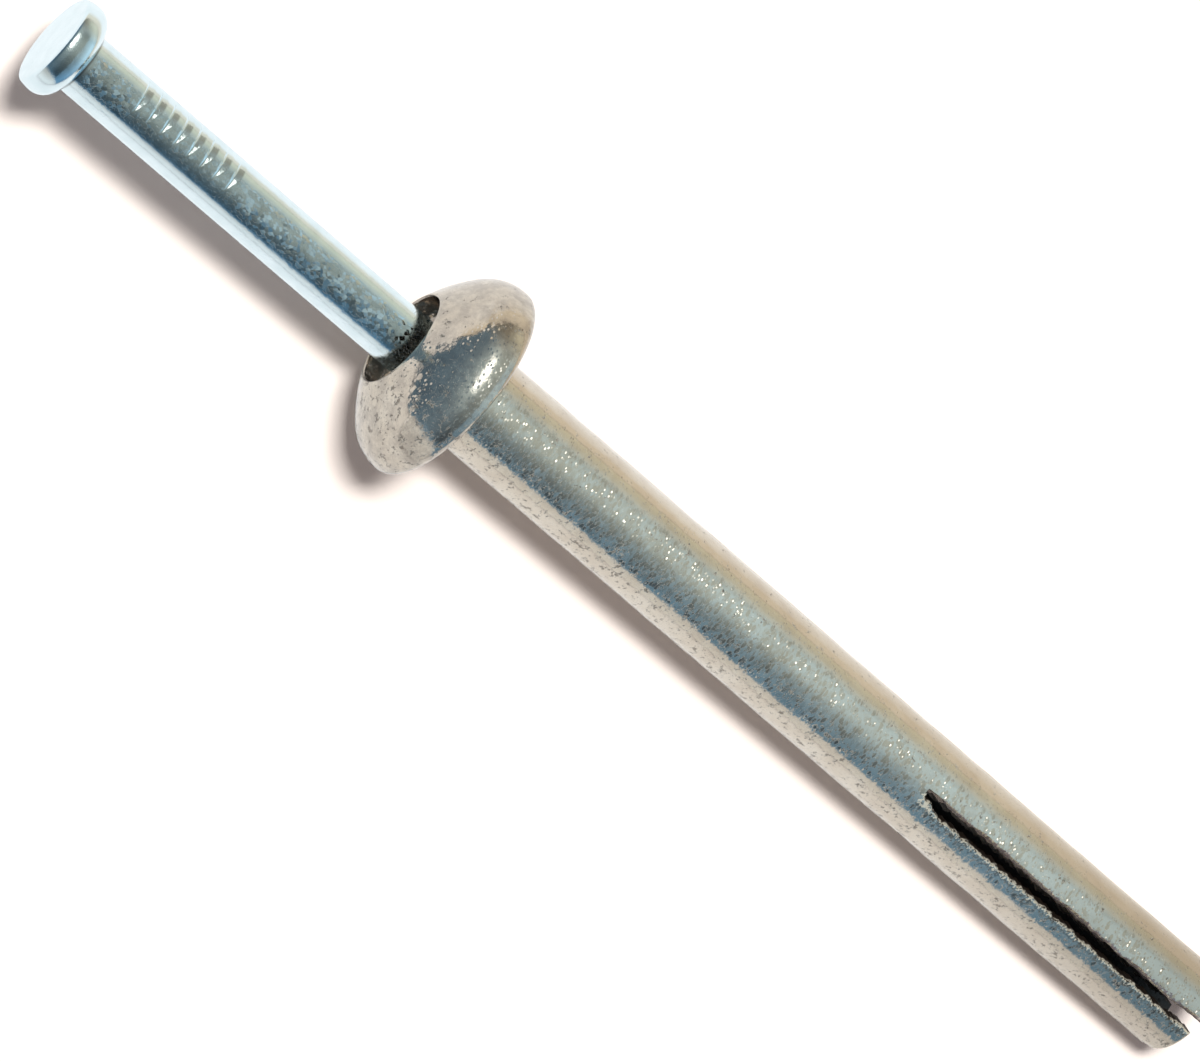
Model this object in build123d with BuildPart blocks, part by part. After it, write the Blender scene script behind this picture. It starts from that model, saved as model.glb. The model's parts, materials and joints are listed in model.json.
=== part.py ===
from build123d import *
import os
from math import asin, atan2, cos, degrees, hypot, radians, sin, sqrt

# Hammer drive anchor, in millimetres. A cast body with a domed head, a nail channel and two
# legs, and its drive nail, standing proud of the head as it does before it is driven.
# The anchor lies on the plane Z = 0 on the rim of its head and on its tip, with its tip
# toward +X. Heights along the anchor are measured from the bearing face under the head,
# positive toward the nail's head and negative toward the tip.

# ---------------------------------------------------------------- driving sizes

# round body and legs
body_diameter = 6.35
body_length = 63.5  # from the bearing face to the tip
tip_round = 0.3  # rounded edge of the tip
neck_fillet = 0.25  # casting fillet where the body meets the bearing face

# slot that parts the end of the body into two legs
slot_length = 24.6
slot_width = 0.9
slot_lean = 8.0  # degrees off the upright, toward -Y

# mushroom head
head_diameter = 13.75
rim_round = 0.75  # rounding from the bearing face up to the widest line of the rim
shoulder_round = 3.0  # rounding from the widest line in toward the crown
shoulder_turn = 46.0  # degrees through which the shoulder turns before the crown
crown_round = 11.6  # the flatter rounding from the shoulder to the mouth of the recess
mouth_chamfer = 0.1  # worn edge of the recess

# drive nail
shank_diameter = 3.9
nail_head_diameter = 6.3
nail_head_edge = 0.85  # straight side of the nail's head, with its rounded top edge
nail_head_round = 1.15  # rounded underside of the nail's head
nail_top_round = 0.25
nail_proud = 27.75  # from the mouth of the recess to the top of the nail: its whole drive
point_length = 3.5
point_flat_diameter = 0.8
point_setback = 0.8  # the driven nail's point stops this far inside the tip

# marks of the gripping dies, in two rows on opposite sides of the shank
grip_count = 8
grip_pitch = 1.03
grip_start = 3.95  # from the underside of the nail's head to the first mark
grip_depth = 0.09
grip_round = 0.35  # radius of the mark's hollow
grip_lean = 40.0  # degrees off the upright to the middle of a row, toward +Y

# fits and clearances
bore_clearance = 0.05  # on the radius, between the shank and the bore
recess_clearance = 0.05  # all round the nail's head once it is driven
seat_share = 0.55  # chamfer in the recess's corner, as a share of the rounding it clears

# wedge, where the bore narrows between the legs, so that the nail spreads them
wedge_lead = 1.0  # the wedge begins this far above the slot
wedge_length = 7.0
throat_diameter = 3.1

# ---------------------------------------------------------------- derived sizes

body_radius = body_diameter / 2
head_radius = head_diameter / 2
shank_radius = shank_diameter / 2
nail_head_radius = nail_head_diameter / 2
bore_radius = shank_radius + bore_clearance
recess_radius = nail_head_radius + recess_clearance
throat_radius = throat_diameter / 2

# the dome is two arcs that meet smoothly: the shoulder, then the flatter crown
bearing_radius = head_radius - rim_round
shoulder_centre = head_radius - shoulder_round
crown_centre = (
    shoulder_centre + (shoulder_round - crown_round) * cos(radians(shoulder_turn)),
    rim_round + (shoulder_round - crown_round) * sin(radians(shoulder_turn)),
)


def crown_height(radius):
    """Height of the crown's arc at this distance from the axis."""
    return crown_centre[1] + sqrt(crown_round**2 - (radius - crown_centre[0]) ** 2)


crown_top = crown_height(0)
crown_turn = degrees(atan2(crown_top - crown_centre[1], -crown_centre[0])) - shoulder_turn
mouth_height = crown_height(recess_radius)

nail_head_height = nail_head_edge + nail_head_round
recess_floor = mouth_height - nail_head_height - recess_clearance
seat_chamfer = seat_share * nail_head_round

# the chamfer at the mouth is a cone at 45 degrees, cut from above the crown
mouth_cone_top = crown_top + mouth_chamfer
mouth_cone = mouth_cone_top - mouth_height + mouth_chamfer

slot_start = slot_length - body_length
wedge_start = slot_start + wedge_lead
wedge_end = wedge_start - wedge_length

nail_top = mouth_height + nail_proud
nail_shoulder = nail_top - nail_head_height
driven_point = point_setback - body_length
nail_end = driven_point + nail_proud
point_shoulder = nail_end + point_length

grip_centre = shank_radius - grip_depth + grip_round
grip_heights = [nail_shoulder - grip_start - n * grip_pitch for n in range(grip_count)]

# ---------------------------------------------------------------- how it lies

# The roundings of the rim and of the tip both touch the plane, which sets the tilt.
rim_step = bearing_radius - (body_radius - tip_round)
rim_run = body_length - tip_round + rim_round
tilt = atan2(rim_step, rim_run) - asin((tip_round - rim_round) / hypot(rim_step, rim_run))

seat_height = rim_round + bearing_radius * cos(tilt) - rim_round * sin(tilt)
tip_reach = (
    tip_round
    + (body_length - tip_round) * cos(tilt)
    + (body_radius - tip_round) * sin(tilt)
)
nail_reach = (
    nail_top_round
    + (nail_top - nail_top_round) * cos(tilt)
    + (nail_head_radius - nail_top_round) * sin(tilt)
)

# the centre of the bearing face, set so that the origin is below the anchor's middle
seat = Vector((nail_reach - tip_reach) / 2, 0, seat_height)
nailward = Vector(-cos(tilt), 0, sin(tilt))
upright = Vector(sin(tilt), 0, cos(tilt))
anchor_axis = Axis(seat, nailward)


def lengthwise_plane(lean):
    """Plane through the anchor's axis, leaned off the upright toward +Y by lean degrees.

    Its X is the distance from the axis and its Y the height along the anchor."""
    across = upright * cos(radians(lean)) + Vector(0, sin(radians(lean)), 0)
    return Plane(origin=seat, x_dir=across, z_dir=across.cross(nailward))


def corner(sketch, radius, height):
    """The corner of the sketch that is nearest to this radius and height."""
    return sketch.vertices().sort_by_distance((radius, height))[0]


section = lengthwise_plane(0)

# ---------------------------------------------------------------- anchor body

with BuildPart() as anchor_body:
    # half section of the whole casting, turned about the axis
    with BuildSketch(section) as half_section:
        # outside: body, bearing face, rounded rim, shoulder and crown
        with BuildLine():
            Polyline(
                (0, crown_top),
                (0, -body_length),
                (body_radius, -body_length),
                (body_radius, 0),
                (bearing_radius, 0),
            )
            CenterArc((bearing_radius, rim_round), rim_round, 270, 90)
            CenterArc((shoulder_centre, rim_round), shoulder_round, 0, shoulder_turn)
            CenterArc(crown_centre, crown_round, shoulder_turn, crown_turn)
        make_face()
        # inside: recess for the nail's head, bore, wedge and throat
        with BuildLine():
            Polyline(
                (0, mouth_cone_top),
                (recess_radius + mouth_cone, mouth_cone_top),
                (recess_radius, mouth_cone_top - mouth_cone),
                (recess_radius, recess_floor + seat_chamfer),
                (recess_radius - seat_chamfer, recess_floor),
                (bore_radius, recess_floor),
                (bore_radius, wedge_start),
                (throat_radius, wedge_end),
                (throat_radius, -body_length),
                (0, -body_length),
                close=True,
            )
        make_face(mode=Mode.SUBTRACT)
        fillet(corner(half_section, body_radius, -body_length), tip_round)
        fillet(corner(half_section, body_radius, 0), neck_fillet)
    revolve(axis=anchor_axis)

    # slot, right through the body and out at the tip
    with BuildSketch(lengthwise_plane(-slot_lean)):
        with Locations((0, slot_start)):
            Rectangle(2 * body_diameter, 2 * slot_length, align=(Align.CENTER, Align.MAX))
    extrude(amount=slot_width / 2, both=True, mode=Mode.SUBTRACT)

anchor_body.part.label = "anchor_body"

# ---------------------------------------------------------------- drive nail

with BuildPart() as drive_nail:
    with BuildSketch(section) as nail_outline:
        with BuildLine():
            Polyline(
                (0, nail_top),
                (nail_head_radius, nail_top),
                (nail_head_radius, nail_shoulder),
                (shank_radius, nail_shoulder),
                (shank_radius, point_shoulder),
                (point_flat_diameter / 2, nail_end),
                (0, nail_end),
                close=True,
            )
        make_face()
        fillet(corner(nail_outline, nail_head_radius, nail_top), nail_top_round)
        fillet(corner(nail_outline, nail_head_radius, nail_shoulder), nail_head_round)
    revolve(axis=anchor_axis)

    # grip marks: straight hollows across the shank, one row on each side
    with BuildSketch(lengthwise_plane(grip_lean)):
        with Locations([(side * grip_centre, height) for side in (1, -1) for height in grip_heights]):
            Circle(grip_round)
    extrude(amount=nail_head_radius, both=True, mode=Mode.SUBTRACT)

drive_nail.part.label = "drive_nail"

# ---------------------------------------------------------------- files

os.makedirs("parts", exist_ok=True)
export_step(anchor_body.part, "parts/anchor_body.step")
export_step(drive_nail.part, "parts/drive_nail.step")

print(f"lies tilted {degrees(tilt):.3f} degrees, bearing face centre {seat}")
print(f"nail: {nail_top - nail_end:.2f} long, driven {nail_proud:.2f}, mouth at {mouth_height:.3f}")
print(f"crown centre {crown_centre}, body {anchor_body.part.volume:.1f} mm3")
print(f"nail {drive_nail.part.volume:.1f} mm3, {len(drive_nail.part.faces())} faces")
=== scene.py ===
import json
from math import acos, atan2, cos, degrees, exp, pi, radians, sin, sqrt

import bmesh
import bpy
from mathutils import Matrix, Vector, noise


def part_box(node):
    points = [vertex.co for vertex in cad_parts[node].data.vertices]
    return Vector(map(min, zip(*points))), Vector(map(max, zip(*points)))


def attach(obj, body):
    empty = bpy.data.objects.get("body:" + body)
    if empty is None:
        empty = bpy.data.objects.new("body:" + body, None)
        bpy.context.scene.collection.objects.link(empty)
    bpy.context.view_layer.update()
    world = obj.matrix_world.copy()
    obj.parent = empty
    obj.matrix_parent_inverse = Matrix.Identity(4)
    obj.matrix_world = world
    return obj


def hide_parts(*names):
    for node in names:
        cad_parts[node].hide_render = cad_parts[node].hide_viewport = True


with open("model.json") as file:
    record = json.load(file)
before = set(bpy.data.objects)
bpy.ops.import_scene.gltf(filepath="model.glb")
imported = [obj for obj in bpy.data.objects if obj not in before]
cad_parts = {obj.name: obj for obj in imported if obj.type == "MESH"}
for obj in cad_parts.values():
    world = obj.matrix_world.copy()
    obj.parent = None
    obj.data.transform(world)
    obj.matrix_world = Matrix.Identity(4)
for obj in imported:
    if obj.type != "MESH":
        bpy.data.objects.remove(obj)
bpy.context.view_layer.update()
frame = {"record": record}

# The two pieces are modelled in millimetres in the anchor's own frame: X away from the axis and
# upright, Y across, Z along the axis, 0 at the bearing face and positive toward the nail's head.
# place() then lays them down in metres where the frame has the anchor.

# ---------------------------------------------------------------- sizes

low_body, high_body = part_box("anchor_body")
low_nail, high_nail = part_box("drive_nail")
mounts = {mount["name"]: mount for mount in frame["record"]["mounts"]}
METRES = 0.001
merge_distance = 1e-4
sharp_edge = 38.0  # degrees; the shading breaks at edges that turn further

body_radius = mounts["shank"]["dims"]["r_mm"]
body_length = 63.5
tip_round = 0.3
neck_fillet = 0.25
head_radius = (high_body.y - low_body.y) / 2 / METRES
rim_round = 0.75
shoulder_round = 3.0
shoulder_turn = 46.0
crown_round = 11.6
recess_radius = 3.2
mouth_round = 0.12
floor_round = 0.9
bore_radius = 2.0
throat_radius = 1.55
recess_floor = 2.83

slot_start = -38.9
slot_width = 0.9
slot_lean = -8.0  # degrees off the upright, toward -Y
wedge_start = slot_start + 1.0
wedge_end = wedge_start - 7.0
cutter_length = 26.0  # the slot's cutter runs out past the tip
cutter_steps = 240
cutter_margin = 0.5  # and it stands this far clear of the body's skin

# the casting's surface: waves, the parting line, the trimmed rim and the nick in it
wave_width = 1.6
wave_height = 0.012
touching_wave = -0.02  # on the rim and the tip, which touch the floor, the waves only sink in
parting_width = 0.09
parting_height = 0.045
trim_depth = 0.03
trim_slope = 0.012
nick_height = 1.5
nick_depth = 0.16
nick_width = 0.5
nick_rise = 0.11

nail_head_radius = (high_nail.y - low_nail.y) / 2 / METRES
shank_radius = 1.95
nail_head_height = 2.0
nail_head_round = 1.15
nail_top_round = 0.25
side_turn = 17.0  # the side of the nail's head is a little barrelled
nail_length = 67.58
nail_top = 32.633
point_length = 3.5
point_radius = 0.4

mark_count = 8
mark_pitch = 1.03
mark_start = 3.95
mark_depth = 0.12
mark_bottom = 0.07  # the deepest line of a mark lies this far nailward of its middle
mark_lean = 43.0
mark_spread = 50.0
mark_margin = 1.0  # finer rings of the shank begin this far above the marks
steep_face = 0.9  # slopes of a mark's two faces
gentle_face = 0.27
shown_shank = 4.0  # the shank's rings stay fine this far into the head

# ---------------------------------------------------------------- where the anchor lies

tipward = Vector(mounts["shank"]["axis"])
shank_middle = Vector(mounts["shank"]["pos_m"])
under_head = Vector(mounts["under_head"]["pos_m"])
seat = shank_middle + tipward * (under_head - shank_middle).dot(tipward)
nailward = -tipward
across = Vector((0, 1, 0))
upright = across.cross(nailward)
lay_down = Matrix((upright, across, nailward)).transposed().to_4x4()
lay_down.translation = seat
lay_down = lay_down @ Matrix.Scale(METRES, 4)


def as_object(bm, name):
    """Put a bmesh into the scene as an object of this name."""
    mesh = bpy.data.meshes.new(name)
    bm.to_mesh(mesh)
    bm.free()
    made = bpy.data.objects.new(name, mesh)
    bpy.context.scene.collection.objects.link(made)
    return made


def place(bm, name, material, body, node):
    """Lay a finished bmesh down in metres, shade it smooth and hand it over for its CAD node."""
    bmesh.ops.recalc_face_normals(bm, faces=bm.faces)
    bmesh.ops.transform(bm, matrix=lay_down, verts=bm.verts)
    piece = as_object(bm, name)
    piece.data.shade_smooth()
    piece.data.set_sharp_from_angle(angle=radians(sharp_edge))
    piece.data.materials.append(material)
    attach(piece, body)
    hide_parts(node)


# ---------------------------------------------------------------- outlines


def begin(bm, radius, height):
    """The first vertex of an outline, which is drawn from end to end and then turned round."""
    return bm.verts.new((radius, 0, height))


def straight(bm, end, radius, height, steps):
    """Draw a straight run of edges from the vertex end to this radius and height."""
    step = (Vector((radius, 0, height)) - end.co) / steps
    drawn = bmesh.ops.spin(
        bm, geom=[end], cent=(0, 0, 0), axis=(0, 1, 0), dvec=step, angle=0, steps=steps
    )
    return drawn["geom_last"][0]


def arc(bm, end, radius, height, turn, steps):
    """Draw an arc round (radius, height), by turn degrees from outward toward nailward."""
    drawn = bmesh.ops.spin(
        bm, geom=[end], cent=(radius, 0, height), axis=(0, -1, 0), angle=radians(turn), steps=steps
    )
    return drawn["geom_last"][0]


def turn_round(bm, steps):
    """Spin the drawn outline once about the anchor's axis and close it."""
    bmesh.ops.remove_doubles(bm, verts=bm.verts, dist=merge_distance)
    bmesh.ops.spin(
        bm,
        geom=bm.verts[:] + bm.edges[:],
        cent=(0, 0, 0),
        axis=(0, 0, 1),
        angle=2 * pi,
        steps=steps,
        use_merge=True,
    )
    bmesh.ops.remove_doubles(bm, verts=bm.verts, dist=merge_distance)


def from_axis(vertex):
    """How far a vertex lies from the anchor's axis, and the direction outward from it."""
    radius = sqrt(vertex.co.x**2 + vertex.co.y**2)
    return radius, Vector((vertex.co.x, vertex.co.y, 0)) / max(radius, merge_distance)


def wavy(point, scale, seed=0):
    """Smooth noise from -1 to 1 whose bumps are about scale millimetres wide."""
    return noise.noise(Vector(point) / scale + Vector((seed, seed * 1.7, seed * 0.3)))


# ---------------------------------------------------------------- anchor body

bearing_radius = head_radius - rim_round
shoulder_centre = head_radius - shoulder_round
crown_centre = (
    shoulder_centre + (shoulder_round - crown_round) * cos(radians(shoulder_turn)),
    rim_round + (shoulder_round - crown_round) * sin(radians(shoulder_turn)),
)
mouth_radius = recess_radius + mouth_round
mouth_turn = degrees(acos((mouth_radius - crown_centre[0]) / crown_round))
mouth_height = crown_centre[1] + crown_round * sin(radians(mouth_turn))


def cast_body():
    """The whole casting, turned from one outline, before its slot is cut."""
    bm = bmesh.new()
    end = begin(bm, throat_radius, -body_length)
    end = straight(bm, end, body_radius - tip_round, -body_length, 5)
    end = arc(bm, end, body_radius - tip_round, tip_round - body_length, 90, 6)
    end = straight(bm, end, body_radius, slot_start, 130)
    end = straight(bm, end, body_radius, -neck_fillet, 96)
    end = arc(bm, end, body_radius + neck_fillet, -neck_fillet, -90, 4)
    end = straight(bm, end, bearing_radius, 0, 6)
    end = arc(bm, end, bearing_radius, rim_round, 90, 10)
    end = arc(bm, end, shoulder_centre, rim_round, shoulder_turn, 20)
    end = arc(bm, end, *crown_centre, mouth_turn - shoulder_turn, 16)
    end = arc(bm, end, mouth_radius, mouth_height - mouth_round, 90, 5)
    end = straight(bm, end, recess_radius, recess_floor + floor_round, 6)
    end = arc(bm, end, recess_radius - floor_round, recess_floor + floor_round, -90, 6)
    end = straight(bm, end, bore_radius, recess_floor, 1)
    end = straight(bm, end, bore_radius, wedge_start, 12)
    end = straight(bm, end, throat_radius, wedge_end, 8)
    straight(bm, end, throat_radius, -body_length, 20)
    turn_round(bm, 224)

    # the slight waviness of a die casting, the parting line on both sides and its cut-off flash
    for v in bm.verts:
        radius, outward = from_axis(v)
        in_bore = radius < bore_radius + 0.6 and v.co.z < recess_floor + 0.1
        if in_bore:
            continue
        touching = v.co.z < 0.5 - body_length or radius > bearing_radius
        waves = wavy(v.co, wave_width, 5)
        height, waves = (touching_wave, 1 + waves) if touching else (wave_height, waves)
        v.co += outward * height * waves
        off_side = (v.co.x / parting_width) ** 2
        if -body_length + 0.5 < v.co.z < -0.4:
            v.co += outward * parting_height * exp(-off_side) * (0.7 + 0.5 * wavy(v.co, 2.0, 3))
        if radius > bearing_radius:
            v.co.y -= max(0, v.co.y - head_radius + trim_depth + trim_slope * v.co.z)
            nick = exp(-((v.co.x / nick_width) ** 2) - ((v.co.z - nick_height) / nick_rise) ** 2)
            v.co.y += nick_depth * nick if v.co.y < 0 else 0
    return bm


def lean_with_slot(bm):
    """Turn a cutter about the anchor's axis, from upright to the slot's lean."""
    lean = Matrix.Rotation(radians(slot_lean), 3, "Z")
    bmesh.ops.rotate(bm, cent=(0, 0, 0), matrix=lean, verts=bm.verts)
    return bm


def slot_cutter():
    """The slot's space, with worn and crumbled lips, in a long bar turned to the slot's lean."""
    bm = bmesh.new()
    half, top = slot_width / 2, body_radius + cutter_margin
    # both lips are worn back in a bevel that begins just under the skin
    section = [
        (-top, half),
        (body_radius - 0.25, half),
        (top, half + 0.8),
        (top, -half - 0.45),
        (body_radius - 0.15, -half + 0.04),
        (-top, -half),
    ]
    ring = [bm.verts.new((x, y, slot_start)) for x, y in section]
    bm.faces.new(ring)
    bmesh.ops.spin(
        bm,
        geom=bm.faces[:],
        cent=(0, 0, 0),
        axis=(0, 0, 1),
        dvec=(0, 0, -cutter_length / cutter_steps),
        angle=0,
        steps=cutter_steps,
    )
    bmesh.ops.remove_doubles(bm, verts=bm.verts, dist=merge_distance)
    for v in bm.verts:
        along = (0, 0, v.co.z)
        at_top = v.co.x > 0
        if v.co.y > 0:
            v.co.y += 0.14 * wavy(along, 1.8, 2) + 0.06 * wavy(along, 0.4, 4)
            if at_top:
                v.co.x -= 0.2 * wavy(along, 1.4, 9)
        else:
            v.co.y += 0.2 * wavy(along, 0.5, 6) + 0.14 * wavy(along, 0.23, 7)
            if at_top:
                # this lip's wear comes in over the slot's first millimetres
                v.co.y += 0.5 * max(0, 1 - (slot_start - v.co.z) / 1.7)
    return lean_with_slot(bm)


def start_notch():
    """The narrow crack that runs on from the slot's start along its upper lip."""
    bm = bmesh.new()
    bmesh.ops.create_cube(bm, size=1)
    bmesh.ops.scale(bm, vec=(1.4, 0.34, 1.4), verts=bm.verts)
    middle = (body_radius, slot_width / 2 - 0.03, slot_start - 0.6)
    bmesh.ops.translate(bm, vec=middle, verts=bm.verts)
    return lean_with_slot(bm)


def cut_slot(casting):
    """The casting less its slot and the crack at the slot's start."""
    made = []
    for name, bm in (("uncut", casting), ("slot", slot_cutter()), ("notch", start_notch())):
        bmesh.ops.recalc_face_normals(bm, faces=bm.faces)
        made.append(as_object(bm, name))
    body, *cutters = made
    for cutter in cutters:
        cut = body.modifiers.new(cutter.name, "BOOLEAN")
        cut.operation, cut.solver, cut.object = "DIFFERENCE", "EXACT", cutter
    graph = bpy.context.evaluated_depsgraph_get()
    slotted = bpy.data.meshes.new_from_object(body.evaluated_get(graph))
    bm = bmesh.new()
    bm.from_mesh(slotted)
    meshes = [slotted, *(spent.data for spent in made)]
    for spent in made:
        bpy.data.objects.remove(spent)
    for mesh in meshes:
        bpy.data.meshes.remove(mesh)
    return bm


# ---------------------------------------------------------------- drive nail


def drawn_nail():
    """The nail, turned from one outline, with its marks pressed into two opposite sides."""
    bm = bmesh.new()
    shoulder = nail_top - nail_head_height
    side_round = nail_top_round + (nail_head_height - nail_head_round - nail_top_round) / sin(
        radians(side_turn)
    )
    marks_top = shoulder - mark_start + mark_margin
    marks_end = shoulder - mark_start - mark_count * mark_pitch
    side_centre = nail_head_radius - side_round
    edge_centre = side_centre + (side_round - nail_top_round) * cos(radians(side_turn))
    end = begin(bm, 0, nail_top)
    end = straight(bm, end, edge_centre, nail_top, 10)
    end = arc(bm, end, edge_centre, nail_top - nail_top_round, side_turn - 90, 6)
    end = arc(bm, end, side_centre, shoulder + nail_head_round, -side_turn, 6)
    end = arc(bm, end, nail_head_radius - nail_head_round, shoulder + nail_head_round, -90, 16)
    end = straight(bm, end, shank_radius, shoulder, 2)
    end = straight(bm, end, shank_radius, marks_top, 16)
    end = straight(bm, end, shank_radius, marks_end, 180)
    end = straight(bm, end, shank_radius, mouth_height - shown_shank, 60)
    end = straight(bm, end, shank_radius, nail_top - nail_length + point_length, 12)
    end = straight(bm, end, point_radius, nail_top - nail_length, 8)
    straight(bm, end, 0, nail_top - nail_length, 2)
    turn_round(bm, 192)
    for v in bm.verts:
        radius, outward = from_axis(v)
        if radius > 0.5 * shank_radius and marks_end < v.co.z < marks_top:
            v.co -= outward * mark_hollow_at(degrees(atan2(v.co.y, v.co.x)), v.co.z, shoulder)
    return bm


def mark_hollow_at(angle, height, shoulder):
    """Depth of the gripping dies' marks at an angle from the upright and a height."""
    nearest = round((shoulder - mark_start - height) / mark_pitch)
    nearest = min(max(nearest, 0), mark_count - 1)
    along = height - (shoulder - mark_start - nearest * mark_pitch)
    edge = cos(radians(mark_spread))
    deepest = 0.0
    for middle in (mark_lean, mark_lean + 180):
        off = abs((angle - middle + 180) % 360 - 180)
        if off < mark_spread:
            deepest = max(deepest, mark_depth * ((cos(radians(off)) - edge) / (1 - edge)))
    steep, gentle = (along - mark_bottom) * steep_face, (mark_bottom - along) * gentle_face
    return max(0.0, deepest - max(steep, gentle))


# ---------------------------------------------------------------- materials


class Nodes:
    """A few words for wiring a node tree, which starts empty."""

    def __init__(self, tree):
        self.tree = tree
        tree.nodes.clear()

    def feed(self, socket, value):
        """Link what comes from a node, and write a plain number or colour on the socket itself."""
        if hasattr(value, "is_output"):
            self.tree.links.new(value, socket)
        elif socket.type == "RGBA":
            socket.default_value = (*value, 1)
        else:
            socket.default_value = value

    def add(self, kind, inputs=(), **settings):
        """A node of this kind. Its settings come first, because they decide its sockets."""
        node = self.tree.nodes.new("ShaderNode" + kind)
        for key, value in settings.items():
            setattr(node, key, value)
        for key, value in dict(inputs).items():
            self.feed(node.inputs[key], value)
        return node

    def parts(self, vector):
        """The X, Y and Z of a vector."""
        apart = self.add("SeparateXYZ", {"Vector": vector})
        return [apart.outputs[axis] for axis in "XYZ"]

    def math(self, operation, *values, clamp=False):
        node = self.add("Math", operation=operation, use_clamp=clamp)
        for socket, value in zip(node.inputs, values):
            self.feed(socket, value)
        return node.outputs["Value"]

    def product(self, first, *others):
        for other in others:
            first = self.math("MULTIPLY", first, other)
        return first

    def vectors(self, operation, *values):
        """A vector operation on vectors, and its vector result."""
        return self.add("VectorMath", dict(enumerate(values)), operation=operation).outputs["Vector"]

    def noise(self, vector, scale, detail=2.0, roughness=0.5):
        inputs = {"Vector": vector, "Scale": scale, "Detail": detail, "Roughness": roughness}
        return self.add("TexNoise", inputs).outputs["Fac"]

    def ramp(self, share, stops):
        """Colours or greys over a share from 0 to 1."""
        node = self.add("ValToRGB", {"Fac": share})
        elements = node.color_ramp.elements
        while len(elements) < len(stops):
            elements.new(0.5)
        for element, (position, colour) in zip(elements, stops):
            element.position = position
            if not hasattr(colour, "__len__"):
                colour = (colour, colour, colour)
            element.color = (*colour, 1)
        return node.outputs["Color"]

    def over(self, value, low, high, stops):
        """A ramp with its stops in the value's own measure, which is shown from low to high."""
        scale = 1 / (high - low)
        share = self.math("MULTIPLY_ADD", value, scale, -low * scale)
        return self.ramp(share, [((stop - low) * scale, colour) for stop, colour in stops])

    def mix(self, amount, a, b, blend="MIX"):
        node = self.add("Mix", data_type="RGBA", blend_type=blend)
        sockets = {socket.identifier: socket for socket in node.inputs}
        self.feed(sockets["Factor_Float"], amount)
        self.feed(sockets["A_Color"], a)
        self.feed(sockets["B_Color"], b)
        return next(socket for socket in node.outputs if socket.identifier == "Result_Color")

    def times(self, a, b):
        return self.mix(1.0, a, b, "MULTIPLY")

    def plus(self, a, b):
        return self.mix(1.0, a, b, "ADD")


class Finish(Nodes):
    """The nodes of one material, worked on the piece's own coordinates."""

    def __init__(self, name):
        self.material = bpy.data.materials.new(name)
        self.material.use_nodes = True
        super().__init__(self.material.node_tree)
        self.shader = self.add("BsdfPrincipled")
        self.add("OutputMaterial", {"Surface": self.shader.outputs["BSDF"]})
        self.object = self.add("TexCoord").outputs["Object"]

    def along_anchor(self, fineness=(1, 1, 1)):
        """Millimetres in the anchor's own frame. A pattern on them is finer by fineness."""
        inputs = {
            "Vector": self.object,
            "Location": seat,
            "Rotation": lay_down.to_euler(),
            "Scale": tuple(METRES / finer for finer in fineness),
        }
        return self.add("Mapping", inputs, vector_type="TEXTURE").outputs["Vector"]

    def askew_grains(self, vector, scale, steepness, reach, sway, facing=(0, 0, 0)):
        """Height over flat grains that face one way, each with its own sway off it.

        The stops of steepness say by chance how steep they lie, and reach how wide they are."""
        cells = self.add("TexVoronoi", {"Vector": vector, "Scale": scale, "Randomness": 1.0})
        off = self.vectors("SUBTRACT", vector, cells.outputs["Position"])
        lean = self.vectors("SUBTRACT", cells.outputs["Color"], (0.5, 0.5, 0.5))
        lean = self.vectors("MULTIPLY_ADD", lean, sway, tuple(-part for part in facing))
        slope = self.add("VectorMath", {0: off, 1: lean}, operation="DOT_PRODUCT").outputs["Value"]
        chance = self.parts(cells.outputs["Color"])[2]
        inside = self.math("LESS_THAN", cells.outputs["Distance"], reach)
        return self.product(slope, self.product(self.ramp(chance, steepness), inside))

    def bump(self, height, distance, normal=None, strength=1.0):
        """The normal over a height, on top of the normal of the bumps before it."""
        node = self.add("Bump", {"Height": height, "Distance": distance, "Strength": strength})
        if normal:
            self.feed(node.inputs["Normal"], normal)
        return node.outputs["Normal"]

    def finish(self, **inputs):
        """Give the shader its inputs, named with _ for a space, and hand over the material."""
        for name, value in inputs.items():
            self.feed(self.shader.inputs[name.replace("_", " ")], value)
        return self.material


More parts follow.
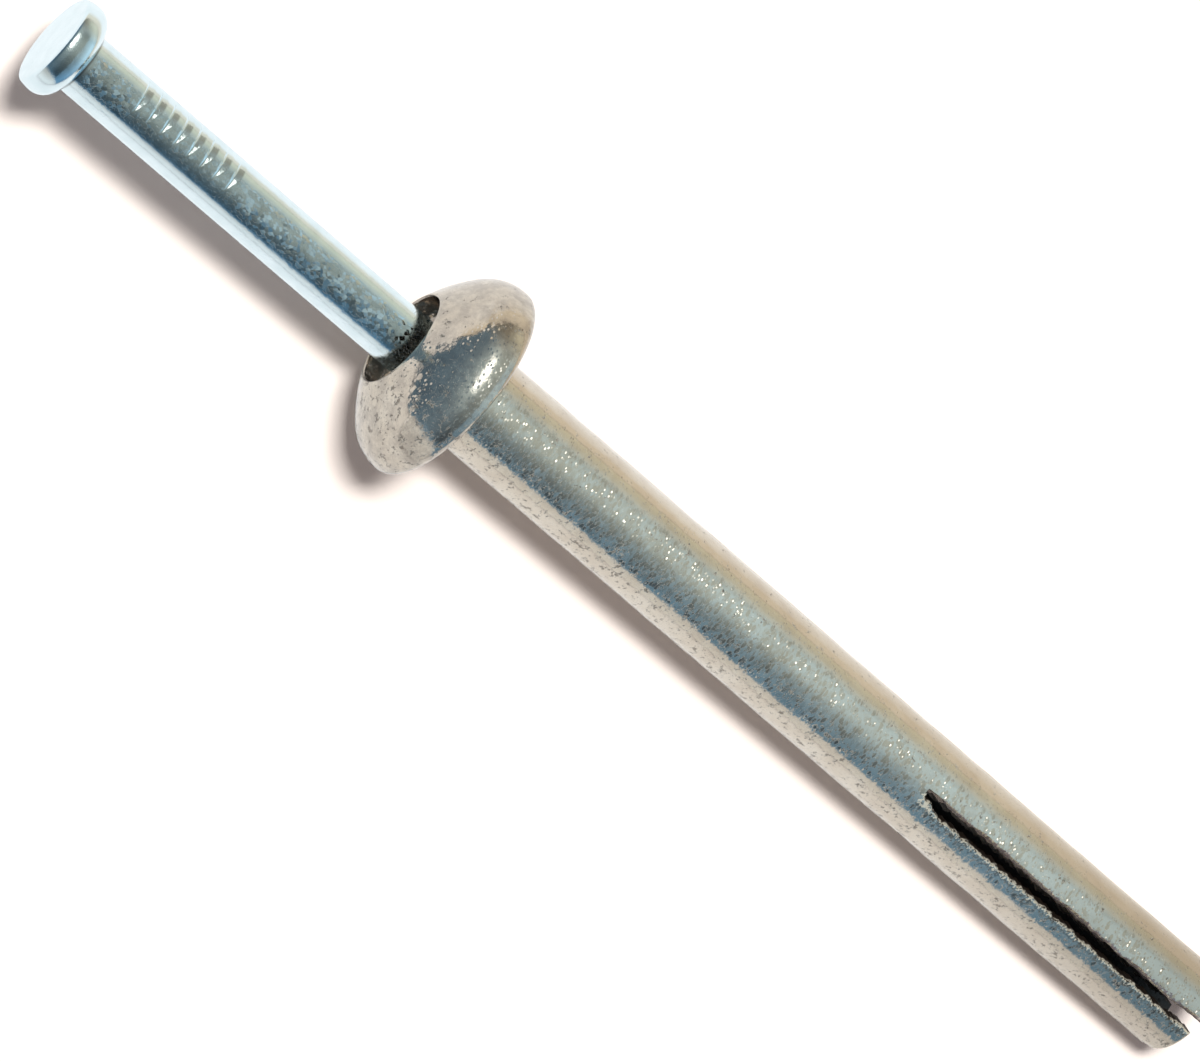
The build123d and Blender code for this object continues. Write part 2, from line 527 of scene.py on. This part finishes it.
def slot_wear(n, here, height):
    """Masks round the slot: painted shade in it, a worn stripe darkened as painted shade, a burr
    painted pale as a painted reflection, and a crease's painted shadow.
    """
    leaned = {"Vector": here, "Angle": radians(-slot_lean)}
    leaned = n.add("VectorRotate", leaned, rotation_type="Z_AXIS").outputs["Vector"]
    rise, sideways, _ = n.parts(leaned)

    # painted shade: inside the slot the casting skin is painted nearly black, for the shade that
    # falls in it
    in_slot = n.math("LESS_THAN", n.math("ABSOLUTE", sideways), slot_width / 2 + 0.12)
    deep = n.over(rise, 0, 3.33, [(2.67, 1), (3.1, 0)])
    past_start = n.math("LESS_THAN", height, slot_start + 0.02)
    hollow_shade = n.product(in_slot, deep, past_start)

    # the lips: everything beside the slot wanders with one ragged noise
    ragged = n.math("MULTIPLY_ADD", n.noise(n.along_anchor((1, 1, 1.6)), 4.0, 3, 0.6), 1.1, -0.55)
    beside = n.math("ADD", ragged, sideways)
    ragged_end = n.math("LESS_THAN", n.math("MULTIPLY_ADD", ragged, 0.9, height), slot_start + 0.1)
    at_lip = n.product(n.over(rise, 0, 3.33, [(2.77, 0), (2.9, 1)]), ragged_end)
    past_flap = n.math("LESS_THAN", height, slot_start - 1.0)

    def stripe(*stops):
        return n.over(beside, -2, 2, stops)

    # painted shade: the worn stripe on the upper lip's bevel is painted darker where the bevel faces
    # away from the light
    worn_and_shaded = n.product(stripe((0.4, 0), (0.448, 1), (0.58, 1), (0.66, 0)), past_flap)
    # painted reflection: the burr on the lower lip is painted pale cream and half metallic, for the
    # bright light it reflects
    burr_sheen = stripe((-0.56, 0), (-0.52, 1), (-0.4, 1), (-0.34, 0))
    # painted shadow: the crease behind the burr is painted dark
    crease_shadow = stripe((-0.8, 0), (-0.74, 0.6), (-0.68, 0.6), (-0.62, 0))

    # a crumbled flap of burr lies over the slot's first millimetre, painted pale with the burr as a
    # painted reflection
    crumbs = n.ramp(n.noise(here, 2.6, 3, 0.6), [(0.45, 0), (0.5, 1)])
    flap = n.product(stripe((-0.52, 0), (-0.44, 1), (0.2, 1), (0.28, 0)), crumbs)
    burr_sheen = n.math("MAXIMUM", burr_sheen, n.product(flap, n.math("SUBTRACT", 1, past_flap)))
    return hollow_shade, *(n.product(at_lip, mask) for mask in (worn_and_shaded, burr_sheen, crease_shadow))


def cast_zinc():
    """Die-cast zinc: frosted grain that glints, blotches, and dark pits where it is scuffed."""
    n = Finish("cast_zinc")
    here = n.along_anchor()
    _, sideways, height = n.parts(here)
    radius = n.vectors("MULTIPLY", here, (1, 1, 0))
    radius = n.add("VectorMath", {0: radius}, operation="LENGTH").outputs["Value"]
    on_head = n.math("GREATER_THAN", height, -0.05)

    blotch = n.noise(here, 0.5, 3, 0.62)
    pit_place = n.noise(n.along_anchor((1, 1, 1.4)), 1.9, 4, 0.74)
    low_side = n.over(sideways, -5, 5, [(-2.5, 0.062), (-0.5, 0)])
    pits = n.ramp(n.math("ADD", pit_place, low_side), [(0.635, 0), (0.69, 1)])
    stain = n.ramp(n.noise(here, 0.95, 4, 0.7), [(0.4, 0.15), (0.6, 0.8)])
    hollow_shade, worn_and_shaded, burr_sheen, crease_shadow = slot_wear(n, here, height)
    # painted shade: the bore is painted nearly black too
    hollow_shade = n.math("MAXIMUM", hollow_shade, n.math("LESS_THAN", radius, bore_radius + 0.1))
    recess = n.over(radius, 0, 10, [(recess_radius + 0.01, 1), (recess_radius + 0.06, 0)])
    recess = n.product(recess, n.math("GREATER_THAN", height, recess_floor - 1))

    colour = n.ramp(
        blotch, [(0.3, (0.60, 0.535, 0.44)), (0.5, (0.66, 0.60, 0.50)), (0.72, (0.71, 0.66, 0.565))]
    )
    for cover, tint in (
        (n.over(height, -100, 0, [(-60, 0.65), (-44, 0)]), (0.48, 0.42, 0.34)),  # toward the tip
        (n.product(stain, on_head), (0.40, 0.36, 0.31)),
        (n.product(pits, 0.7), (0.17, 0.14, 0.11)),
        # painted shadow in the crease behind the burr
        (crease_shadow, (0.16, 0.13, 0.11)),
        # the worn stripe, darkened as painted shade
        (worn_and_shaded, (0.32, 0.25, 0.245)),
        # painted shade in the slot and the bore
        (hollow_shade, (0.022, 0.015, 0.011)),
        # the burr painted pale, a painted reflection
        (burr_sheen, (0.80, 0.75, 0.60)),
        (recess, (0.42, 0.37, 0.32)),
    ):
        colour = n.mix(cover, colour, tint)

    rough = n.ramp(blotch, [(0.35, 0.06), (0.58, 0.1), (0.72, 0.17)])
    rough = n.math("ADD", rough, n.product(pits, 0.15))
    rough = n.math("ADD", rough, n.product(hollow_shade, 0.4))
    rough = n.math("ADD", rough, n.product(n.math("MAXIMUM", burr_sheen, worn_and_shaded), 0.35), clamp=True)
    metal = n.math("MULTIPLY_ADD", burr_sheen, -0.5, n.math("MULTIPLY_ADD", hollow_shade, -0.9, 0.95), clamp=True)

    # a frosted skin: short ripples across the casting, and proud grains that catch the light
    grain = n.noise(n.along_anchor((1, 1, 1.7)), 7.0, 2, 0.6)
    ripples = n.askew_grains(
        n.along_anchor((0.5, 0.5, 1)),
        scale=4.7,
        steepness=[(0.35, 0.1), (0.4, 1)],
        reach=0.6,
        sway=(0.2, 0.1, 0.27),
        facing=(0, 0, 0.1),
    )
    proud = n.askew_grains(
        n.along_anchor((0.6, 0.6, 1)),
        scale=6.5,
        steepness=[(0.5, 0), (0.53, 1)],
        reach=0.36,
        sway=(0.2, 0.1, 0.3),
        facing=(0, 0, 0.3),
    )
    unworn = n.over(sideways, -5, 5, [(1.3, 1), (2.0, 0.15)])
    unworn = n.product(unworn, n.math("MULTIPLY_ADD", on_head, -0.4, 1))
    normal = n.bump(n.noise(here, 2.5, 2, 0.5), 0.000007)
    normal = n.bump(grain, 0.0000025, normal)
    normal = n.bump(n.product(ripples, unworn), METRES, normal)
    normal = n.bump(proud, METRES, normal)
    normal = n.bump(n.math("SUBTRACT", 1, pits), 0.00004, normal, 0.7)
    return n.finish(Base_Color=colour, Metallic=metal, Roughness=rough, Normal=normal)


def zinc_plate():
    """Bright bluish zinc plate on drawn wire: dimples and small dents on its upper side."""
    n = Finish("zinc_plate")
    here = n.along_anchor()
    _, sideways, height = n.parts(here)
    below_head = n.math("SUBTRACT", height, nail_top - nail_head_height)

    # a painted sheen: greyer and darker where it is seen square on, brighter and bluish aslant; and
    # painted shade in the corner under its head
    cloud = n.noise(here, 0.8, 3, 0.6)
    square_on = n.ramp(cloud, [(0.3, (0.40, 0.42, 0.39)), (0.7, (0.54, 0.575, 0.545))])
    bluish = n.ramp(cloud, [(0.3, (0.68, 0.81, 0.84)), (0.7, (0.78, 0.90, 0.93))])
    aslant_sheen = n.ramp(n.add("LayerWeight", {"Blend": 0.5}).outputs["Facing"], [(0.09, 0), (0.25, 1)])
    # painted shade: the corner under the nail's head is painted dark
    neck_shade = n.over(below_head, -2.5, 2.5, [(-0.2, 0), (-0.075, 0.8), (0.1, 0.8), (0.25, 0)])
    colour = n.mix(neck_shade, n.mix(aslant_sheen, square_on, bluish), (0.10, 0.08, 0.07))
    rough = n.math("MULTIPLY_ADD", cloud, 0.16, 0.03)

    # it is scuffed along its upper side, and dented there above and below the marks
    scuffed = n.over(sideways, -2.5, 2.5, [(-0.9, 0.1), (-0.2, 1), (0.8, 1), (1.0, 0.05)])
    dimples = n.noise(n.along_anchor((1, 1, 1.3)), 4.2, 3, 0.62)
    dents = n.askew_grains(
        n.along_anchor((1.2, 1.2, 1)),
        scale=4.2,
        steepness=[(0.3, 0.1), (0.5, 1)],
        reach=1.2,
        sway=(0.55, 0.55, 0.5),
    )
    dented = n.over(
        below_head,
        -16.7,
        16.7,
        [(-13.67, 1), (-12, 0.25), (-3.83, 0.25), (-2.83, 1), (-0.67, 1), (-0.33, 0)],
    )
    normal = n.bump(n.product(dimples, scuffed), 0.00001, strength=0.9)
    normal = n.bump(n.product(dents, dented, scuffed), METRES, normal)
    normal = n.bump(n.noise(here, 14.0, 2, 0.5), 0.000006, normal, 0.6)
    return n.finish(Base_Color=colour, Metallic=1.0, Roughness=rough, Normal=normal)


place(cut_slot(cast_body()), "cast_body", cast_zinc(), "anchor", "anchor_body")
place(drawn_nail(), "plated_nail", zinc_plate(), "nail", "drive_nail")

# ---------------------------------------------------------------- floor, light and camera


def studio_floor():
    """White floor, pure white to the camera. What it lends the anchor turns tan on one side."""
    bm = bmesh.new()
    bmesh.ops.create_grid(bm, x_segments=1, y_segments=1, size=3)
    n = Finish("white_floor")
    x, y, _ = n.parts(n.object)
    tan_side = n.over(n.math("MULTIPLY_ADD", x, 0.4, y), -0.05, 0.05, [(0.008, 0), (0.035, 1)])
    colour = n.mix(tan_side, (0.93, 0.93, 0.93), (0.76, 0.69, 0.57))
    colour = n.mix(n.add("LightPath").outputs["Is Camera Ray"], colour, (1.2, 1.08, 0.99))
    floor = as_object(bm, "floor")
    floor.data.materials.append(n.finish(Base_Color=colour, Roughness=0.9, Specular_IOR_Level=0))


def studio_world():
    """A dim blue opening overhead between a white wall and a tan one, with a glow by the lamp."""
    world = bpy.data.worlds.new("studio")
    world.use_nodes = True
    bpy.context.scene.world = world
    world.cycles.sampling_method = "NONE"
    n = Nodes(world.node_tree)
    x, y, z = n.parts(n.add("TexCoord").outputs["Generated"])

    # degrees from the zenith, split into a share toward +X and a share toward +Y
    level = n.math("SQRT", n.math("SUBTRACT", 1.00001, n.product(z, z)))
    spread = n.math("DIVIDE", n.product(n.math("ARCCOSINE", z), degrees(1)), level)
    toward_x, toward_y = n.product(x, spread), n.product(y, spread)

    def over_angle(angle, *stops):
        return n.over(angle, -180, 180, stops)

    # from the white wall through the opening, which darkens toward the tan wall
    opening = (0.15, 0.30, 0.46)
    slanted = n.math("MULTIPLY_ADD", toward_x, 0.15, toward_y)
    sky = over_angle(
        slanted,
        (-90, 0.95),
        (-75, 0.86),
        (-62, 0.74),
        (-58, opening),
        (-20, (0.14, 0.28, 0.43)),
        (46, opening),
        (72, (0.05, 0.08, 0.1)),
        (92, 0),
    )

    # the tan wall leans back toward its dim end
    bent = n.product(n.math("MINIMUM", n.math("ADD", toward_x, 35), 0), 0.7)
    tan_wall = over_angle(
        n.math("ADD", bent, toward_y),
        (46, 0),
        (60, (0.40, 0.37, 0.29)),
        (78, (0.70, 0.66, 0.51)),
        (95, (0.84, 0.79, 0.64)),
    )
    tan_light = over_angle(toward_x, (-70, 0.25), (-40, 0.38), (-25, 0.48), (-5, 0.72), (22, 1))
    sky = n.plus(sky, n.times(tan_wall, tan_light))

    # one side of the opening is shaded, and a dark bar crosses it but not the tan wall
    shaded = (0.72, 0.66, 0.64)
    bar = over_angle(toward_x, (-10, shaded), (8, 0.26), (22, 0.26), (27, 1))
    above_bar = over_angle(toward_x, (-10, shaded), (4, 0.95), (27, 1))
    bar = n.mix(over_angle(slanted, (54, 0), (66, 1)), bar, above_bar)
    sky = n.mix(over_angle(slanted, (-58, 0), (-54, 1)), sky, n.times(sky, bar))

    # the glow round the lamp, and the bright pane in it
    glow_across = over_angle(
        toward_y,
        (-55, 0),
        (-26, 0.28),
        (-4, 0.72),
        (10, 1.2),
        (24, 1.38),
        (42, 1.34),
        (54, 0.82),
        (66, 0.25),
        (76, 0),
    )
    glow_along = over_angle(toward_x, (-80, 0), (-50, 0.15), (-26, 0.5), (-12, 0.85), (2, 0.6))
    sky = n.plus(sky, n.times(n.times(glow_along, glow_across), (0.60, 0.66, 0.60)))
    pane_along = over_angle(toward_x, (-21, 0), (-17, 1), (-8, 1), (-4, 0))
    pane_across = over_angle(toward_y, (6, 0), (12, 2.7), (38, 2.7), (48, 0))
    sky = n.plus(sky, n.times(pane_along, pane_across))

    # only gloss shows the painted room: other light is an even dim grey, the camera sees white
    path = n.add("LightPath")
    sky = n.mix(path.outputs["Is Glossy Ray"], (0.178, 0.164, 0.176), sky)
    sky = n.mix(path.outputs["Is Camera Ray"], sky, (1, 1, 1))
    background = n.add("Background", {"Color": sky, "Strength": 1.0})
    n.add("OutputWorld", {"Surface": background.outputs["Background"]})


def soft_lamp(name, direction, distance, width, height, power):
    """A rectangular lamp that shines at the bearing face, and that gloss doesn't show."""
    light = bpy.data.lights.new(name, "AREA")
    light.shape, light.size, light.size_y = "RECTANGLE", width, height
    light.energy = power
    lamp = bpy.data.objects.new(name, light)
    direction = Vector(direction).normalized()
    lamp.location = seat + direction * distance
    lamp.rotation_euler = direction.to_track_quat("Z", "X").to_euler()
    lamp.visible_glossy = False
    bpy.context.scene.collection.objects.link(lamp)


def camera():
    """A long lens from above, turned so that the anchor runs from corner to corner."""
    lens = bpy.data.cameras.new("camera")
    lens.lens, lens.sensor_width, lens.clip_start = 192.36, 36, 0.01
    eye = bpy.data.objects.new("camera", lens)
    eye.location = seat + Vector((-0.104671, 0.00002, 0.366013))
    eye.rotation_euler = [radians(turn) for turn in (-11.89099, -13.26561, 42.03675)]
    bpy.context.scene.collection.objects.link(eye)
    bpy.context.scene.camera = eye


studio_floor()
studio_world()
soft_lamp("key", (-0.2, 0.24, 0.95), distance=0.8, width=0.12, height=0.195, power=6.4)
camera()
bpy.context.scene.view_settings.view_transform = "Standard"
